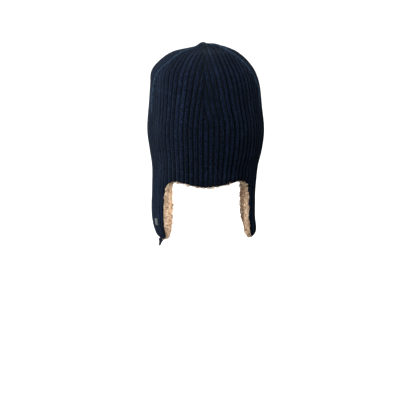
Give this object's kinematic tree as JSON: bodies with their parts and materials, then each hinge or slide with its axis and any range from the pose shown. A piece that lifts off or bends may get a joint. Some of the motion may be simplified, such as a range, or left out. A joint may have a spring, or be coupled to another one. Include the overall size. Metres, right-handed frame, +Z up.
{
  "type": "knit trapper hat",
  "caption": "Ribbed knit hat with a darted crown, two hanging ear flaps, a thick pile lining, a plain label and a strap.",
  "frame": {"origin": "where the top of the wearer's head touches the lining", "axes": "+Z up, +Y the way the wearer looks, +X to the wearer's right"},
  "size_m": [0.1748, 0.2067, 0.3104],
  "materials": {
    "knit": "navy rib knit, matt, with fine stitch rows",
    "pile": "tan curly pile, soft and matt",
    "label": "light grey woven cloth, plain",
    "strap": "navy flat knit band, matt"
  },
  "bodies": {
    "root": {"knit_shell": "knit", "boa_lining": "pile", "label_tab": "label", "chin_strap": "strap"}
  },
  "joints": []
}
